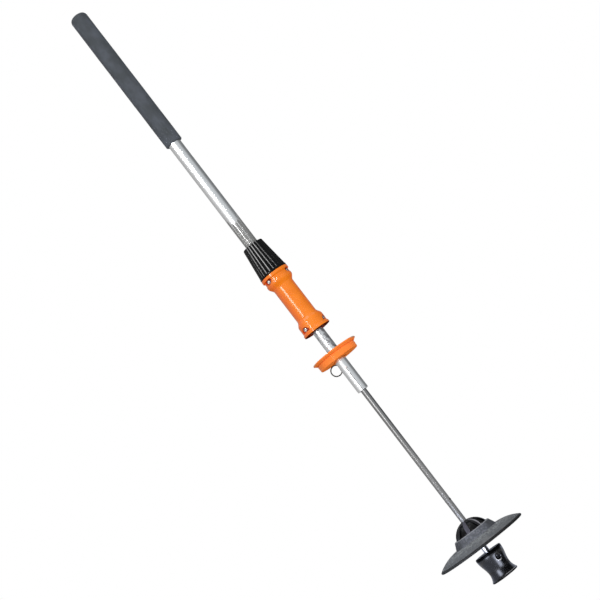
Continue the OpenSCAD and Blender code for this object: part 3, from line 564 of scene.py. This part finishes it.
# The grip is a sleeve of closed-cell foam, pulled over the tube with its closed end outwards.
# It has a fine skin of cut cells, and years of hands have pressed it very slightly out of round.
def foam_sleeve(low, high, bore_r, floor_z):
    """A profile (r, z) turned about the staff's axis, as a closed sleeve.

    The profile runs from the middle of the inner end out to the bore, down the bore to the foot, round the
    foot's edge, up the outside and over the rounded end to the middle. The outside is pressed in by up to
    0.2 mm, times a product of slow waves in the turn and in the height.
    """
    outer_r = high.x
    foot_edge = 0.0015
    end_edge = 0.008
    press = 0.0002
    slow_waves = 31.0
    quick_waves = 47.0
    turns = 96
    edge_steps = 10
    side_steps = 120
    quarter = np.linspace(0.0, 0.5 * np.pi, edge_steps)
    up = np.linspace(low.z + foot_edge, high.z - end_edge, side_steps)
    r = np.concatenate([
        [0.0, 0.5 * bore_r, bore_r, bore_r],
        outer_r - foot_edge + foot_edge * np.sin(quarter),
        np.full(len(up) - 2, outer_r),
        outer_r - end_edge + end_edge * np.cos(quarter),
        [0.5 * (outer_r - end_edge), 0.0],
    ])
    z = np.concatenate([
        [floor_z, floor_z, floor_z, low.z],
        low.z + foot_edge - foot_edge * np.cos(quarter),
        up[1:-1],
        high.z - end_edge + end_edge * np.sin(quarter),
        [high.z, high.z],
    ])
    turn = np.linspace(0.0, 2.0 * np.pi, turns, endpoint=False)
    outside = (r > outer_r - foot_edge)[:, None]
    slow_wave = np.sin(2.0 * turn[None, :] + slow_waves * z[:, None])
    quick_wave = np.sin(quick_waves * z[:, None] + np.sin(turn)[None, :])
    rr = r[:, None] - outside * press * (0.5 + 0.5 * slow_wave * quick_wave)
    grid = np.stack([rr * np.cos(turn), rr * np.sin(turn), np.repeat(z[:, None], turns, 1)], axis=-1)
    rows = len(r) - 2
    points = np.concatenate([[[0.0, 0.0, z[0]]], grid[1:-1].reshape(-1, 3), [[0.0, 0.0, z[-1]]]])
    ring = np.arange(turns)
    after = (ring + 1) % turns
    row = turns * np.arange(rows - 1)[:, None] + 1
    corners = [row + ring, row + after, row + turns + after, row + turns + ring]
    quads = np.stack(corners, axis=-1).reshape(-1, 4)
    last = len(points) - 1
    first_fan = np.stack([np.zeros(turns, int), 1 + after, 1 + ring], axis=-1)
    top = 1 + turns * (rows - 1)
    last_fan = np.stack([np.full(turns, last), top + ring, top + after], axis=-1)
    mesh = bpy.data.meshes.new("grip_foam")
    mesh.from_pydata(points.tolist(), [], quads.tolist() + first_fan.tolist() + last_fan.tolist())
    mesh.polygons.foreach_set("use_smooth", np.ones(len(mesh.polygons), bool))
    return mesh


grip_low, grip_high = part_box("foam_grip")
_, tube_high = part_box("handle_tube")
foam_gap = 0.00002
grip_mesh = foam_sleeve(grip_low, grip_high, tube_high.x + foam_gap, tube_high.z + foam_gap)
grip = bpy.data.objects.new("grip_foam", grip_mesh)
bpy.context.scene.collection.objects.link(grip)
foam = Finish("closed_cell_foam", (0.075, 0.08, 0.088), 0.92, specular=0.12)
foam_cells = foam.cells(grain=0.0011)
foam_grain = foam.noise(grain=0.0005, detail=4.0)
foam_cloud = foam.noise(grain=0.016, detail=3.0, along=1.5)
foam_colour = foam.paint(foam.window(foam_cloud, 0.35, 0.7), (0.06, 0.067, 0.075), (0.081, 0.09, 0.107))
foam_colour = foam.paint(foam.window(foam_cells, 0.1, 0.02, 0.0, 0.7), foam_colour, (0.03, 0.031, 0.033))
foam_rough = foam.window(foam_grain, 0.3, 0.7, 0.84, 0.98)
foam_relief = foam.sum(foam_cells, foam.product(foam_grain, 0.6))
foam.dress(foam_colour, foam_rough, foam_relief, depth=0.00018)
grip_mesh.materials.append(foam.material)
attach(grip, "handle")
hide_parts("foam_grip")


# The studio: a pale round floor below the held staff, fading into an even white surround.
# A tall strip lamp to the left and soft boxes light it, and two cards at the sides darken the metal.
# Small bright cards give the nut, the hub and the rod their lines, and two curved tents light the tip.
middle = Vector((0.0, 0.0, 0.532))


def disc(name, radius, z):
    """A flat disc: points at radius times a share and an angle, in rings about the staff's axis."""
    rows = 12
    columns = 64
    share = np.linspace(0.02, 1.0, rows)[:, None]
    angle = np.linspace(0.0, 2.0 * np.pi, columns, endpoint=False)[None, :]
    x = radius * share * np.cos(angle)
    y = radius * share * np.sin(angle)
    points = np.stack([x, y, np.full_like(x, z)], -1)
    step = np.arange(columns)
    after = (step + 1) % columns
    row = columns * np.arange(rows - 1)[:, None]
    corners = [row + step, row + columns + step, row + columns + after, row + after]
    quads = np.stack(corners, -1).reshape(-1, 4)
    mesh = bpy.data.meshes.new(name)
    mesh.from_pydata(points.reshape(-1, 3).tolist(), [], quads.tolist() + [step.tolist()])
    return mesh


floor_z = -0.25
floor_r = 1.9
floor = bpy.data.objects.new("floor", disc("floor", floor_r, floor_z))
bpy.context.scene.collection.objects.link(floor)
floor_paint = Finish("floor_paint", (0.86, 0.86, 0.86), 0.9, specular=0.1)
fade = floor_paint.add("BsdfTransparent").outputs["BSDF"]
fade_start = 0.2 * floor_r
fade_end = 0.56 * floor_r
rim = floor_paint.window(floor_paint.radius(), fade_start, fade_end)
floor_mix = floor_paint.add("MixShader", {0: rim, 1: floor_paint.shader.outputs["BSDF"], 2: fade})
floor_out = floor_paint.nodes["Material Output"].inputs["Surface"]
floor_paint.material.node_tree.links.new(floor_mix.outputs["Shader"], floor_out)
floor.data.materials.append(floor_paint.material)


def side_card(name, angles, shades, distance=1.35, reach=(-0.24, 2.0), tint=(1.0, 1.0, 1.0)):
    """A curved card round the staff: points (d sin a, -d cos a, z) at one distance d.

    The angle a counts from the camera's side, and z takes the two heights of its reach. The card glows with
    the shade of each angle, and only reflections show it.
    """
    columns = 90
    angle = np.linspace(angles[0], angles[-1], columns)[None, :]
    z = np.array(reach)[:, None]
    turn = np.radians(angle)
    x, y, z = np.broadcast_arrays(distance * np.sin(turn), -distance * np.cos(turn), z)
    points = np.stack([x, y, z], -1)
    step = np.arange(columns - 1)
    quads = np.stack([step, step + 1, step + 1 + columns, step + columns], -1)
    mesh = bpy.data.meshes.new(name)
    mesh.from_pydata(points.reshape(-1, 3).tolist(), [], quads.tolist())
    shade = mesh.attributes.new("shade", "FLOAT", "POINT")
    shade.data.foreach_set("value", np.tile(np.interp(angle[0], angles, shades), 2))
    card = bpy.data.objects.new(name, mesh)
    bpy.context.scene.collection.objects.link(card)
    felt = Finish(name + "_felt", (0.0, 0.0, 0.0), 1.0, specular=0.0)
    glow = felt.add("Attribute", attribute_name="shade").outputs["Fac"]
    felt.shader.inputs["Emission Color"].default_value = (*tint, 1.0)
    felt.material.node_tree.links.new(glow, felt.shader.inputs["Emission Strength"])
    felt.material.cycles.emission_sampling = "FRONT_BACK"
    mesh.materials.append(felt.material)
    card.visible_camera = False
    card.visible_diffuse = False
    card.visible_shadow = False
    return card


right_angles = (6.0, 16.0, 30.0, 55.0, 70.0, 88.0, 115.0, 150.0, 180.0)
right_shades = (0.9, 0.78, 0.66, 0.62, 0.46, 0.26, 0.2, 0.22, 0.22)
right_card = side_card("right_card", right_angles, right_shades, tint=(0.96, 1.0, 1.03))
left_angles = (-180.0, -150.0, -115.0, -85.0, -66.0, -50.0)
left_card = side_card("left_card", left_angles, (0.3, 0.42, 0.5, 0.54, 0.72, 1.0))


def line_card(name, angles, shade, distance, reach):
    """A small card with one bright stripe, which fades out at both sides."""
    return side_card(name, angles, (0.0, shade, shade, 0.0), distance, reach)


nut_card = line_card("nut_card", (-46.0, -32.0, -12.0, 2.0), 48.0, distance=2.3, reach=(1.49, 1.7))
hub_card = line_card("hub_card", (-44.0, -30.0, -27.0, -13.0), 17.0, distance=1.3, reach=(0.67, 0.79))
rod_card = line_card("rod_card", (-30.0, -26.0, -18.0, -14.0), 5.0, distance=1.3, reach=(0.23, 0.49))
back_left = (-180.0, -150.0, -116.0, -60.0)
back_right = (105.0, 116.0, 150.0, 180.0)
tent_angles = (*back_left, -44.0, -34.0, -20.0, -8.0, 8.0, 40.0, *back_right)
tent_shades = (0.4, 0.9, 0.7, 0.8, 1.6, 11.0, 11.0, 1.2, 0.2, 0.02, 0.02, 1.0, 0.9, 0.4)
low_tent_angles = (*back_left, -20.0, 6.0, 18.0, 36.0, 48.0, 58.0, *back_right)
low_tent_shades = (0.4, 0.9, 0.7, 1.0, 1.0, 1.4, 11.0, 11.0, 0.6, 0.02, 0.02, 1.0, 0.9, 0.4)
tent_r = 0.15
cool = (0.82, 0.89, 1.08)
tip_tent = side_card("tip_tent", tent_angles, tent_shades, tent_r, reach=(0.012, 0.125), tint=cool)
low_tent = side_card("low_tent", low_tent_angles, low_tent_shades, tent_r, reach=(-0.09, -0.004), tint=cool)


def soft_box(name, place, width, height, watts, shiny=True):
    """An area lamp at a place, turned towards the middle of the staff."""
    data = bpy.data.lights.new(name, "AREA")
    data.shape = "RECTANGLE"
    data.size = width
    data.size_y = height
    data.energy = watts
    lamp = bpy.data.objects.new(name, data)
    bpy.context.scene.collection.objects.link(lamp)
    lamp.location = place
    lamp.rotation_euler = (middle - lamp.location).to_track_quat("-Z", "Y").to_euler()
    lamp.visible_camera = False
    lamp.visible_glossy = shiny


soft_box("strip", (-1.12, -2.1, 1.4), width=0.26, height=1.4, watts=20.0)
soft_box("front_box", (1.15, -2.5, 0.9), width=1.4, height=1.8, watts=27.0, shiny=False)
soft_box("top_box", (-0.3, -0.4, 2.7), width=1.4, height=1.4, watts=15.0)
soft_box("low_box", (0.3, -1.7, -0.15), width=1.4, height=0.5, watts=8.0, shiny=False)
soft_box("back_left_box", (-1.7, 1.7, 1.1), width=1.2, height=2.0, watts=4.0, shiny=False)
soft_box("back_right_box", (1.7, 1.7, 1.1), width=1.2, height=2.0, watts=12.0, shiny=False)

surround_strength = 0.39
world = bpy.data.worlds.new("surround")
bpy.context.scene.world = world
world.use_nodes = True
sky = world.node_tree.nodes
plain = sky["Background"]
plain.inputs["Color"].default_value = (1.0, 1.0, 1.0, 1.0)
plain.inputs["Strength"].default_value = surround_strength
white = sky.new("ShaderNodeBackground")
white.inputs["Color"].default_value = (1.0, 1.0, 1.0, 1.0)
path = sky.new("ShaderNodeLightPath")
seen = sky.new("ShaderNodeMath")
seen.operation = "ADD"
shown = sky.new("ShaderNodeMath")
shown.operation = "ADD"
shown.use_clamp = True
choose = sky.new("ShaderNodeMixShader")
wire = world.node_tree.links.new
wire(path.outputs["Is Camera Ray"], seen.inputs[0])
wire(path.outputs["Is Glossy Ray"], seen.inputs[1])
wire(seen.outputs["Value"], shown.inputs[0])
wire(path.outputs["Is Transmission Ray"], shown.inputs[1])
wire(shown.outputs["Value"], choose.inputs[0])
wire(plain.outputs["Background"], choose.inputs[1])
wire(white.outputs["Background"], choose.inputs[2])
wire(choose.outputs["Shader"], sky["World Output"].inputs["Surface"])


# The camera stands in front of the staff, low down, and looks up at its middle.
# It is rolled until the grip points to the upper left.
camera_pitch = math.radians(8.0)
camera_roll = math.radians(37.5)
camera_distance = 2.433
aim_aside = 0.0071
focal_pixels = 1540.0
image_pixels = 600.0
sensor_mm = 36.0
forward = Vector((0.0, math.cos(camera_pitch), math.sin(camera_pitch)))
staff_right = Vector((1.0, 0.0, 0.0))
staff_up = staff_right.cross(forward)
right = math.cos(camera_roll) * staff_right - math.sin(camera_roll) * staff_up
up = math.sin(camera_roll) * staff_right + math.cos(camera_roll) * staff_up
camera_data = bpy.data.cameras.new("camera")
camera_data.sensor_width = sensor_mm
camera_data.lens = sensor_mm * focal_pixels / image_pixels
camera = bpy.data.objects.new("camera", camera_data)
bpy.context.scene.collection.objects.link(camera)
aim = middle + aim_aside * staff_right
turned = Matrix((right, up, -forward)).transposed().to_4x4()
camera.matrix_world = Matrix.Translation(aim - camera_distance * forward) @ turned
bpy.context.scene.camera = camera
bpy.context.scene.view_settings.view_transform = "Standard"
